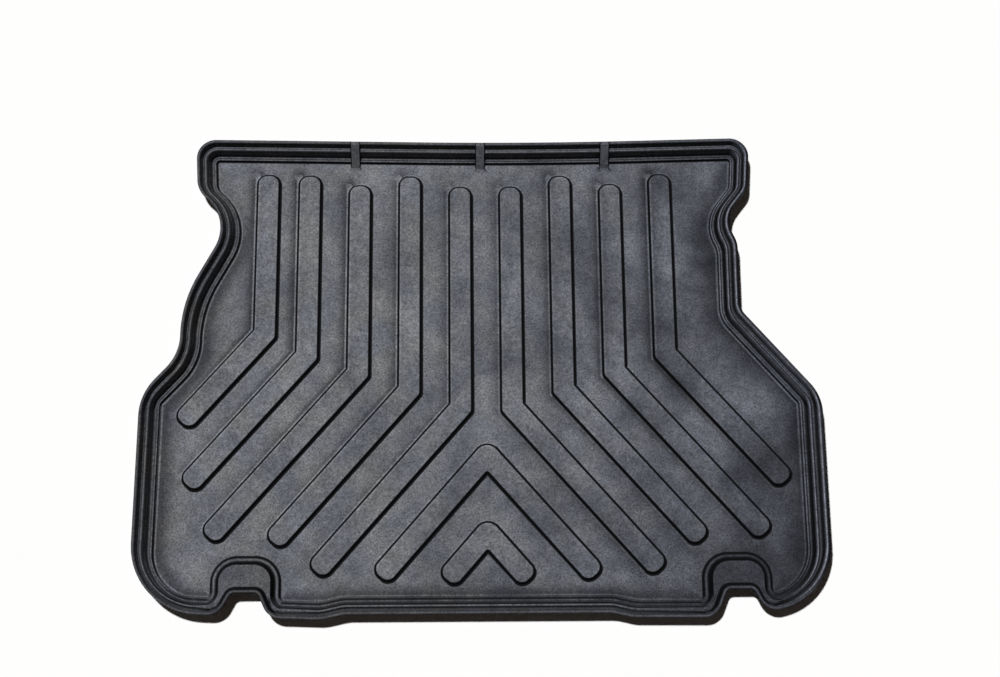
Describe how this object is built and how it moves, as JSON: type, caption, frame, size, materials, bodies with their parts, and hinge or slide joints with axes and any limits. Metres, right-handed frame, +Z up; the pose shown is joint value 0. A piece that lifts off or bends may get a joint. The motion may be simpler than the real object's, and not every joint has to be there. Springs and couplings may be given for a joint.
{
  "type": "car boot liner",
  "caption": "Shaped moulded rubber tray that covers a car's boot floor: a ribbed floor inside a stepped wall with notches, to hold luggage and catch spills.",
  "frame": {"origin": "middle of the rim's outline, seen from above, at the floor's underside", "axes": "+X right along the longest side, as loaded from behind the car; +Y towards the seats, where the nearly straight back edge is; +Z up"},
  "size_m": [0.9866, 0.7148, 0.0255],
  "materials": {
    "rubber": "matte, fine grained"
  },
  "bodies": {
    "root": {"boot_liner": "rubber"}
  },
  "joints": []
}
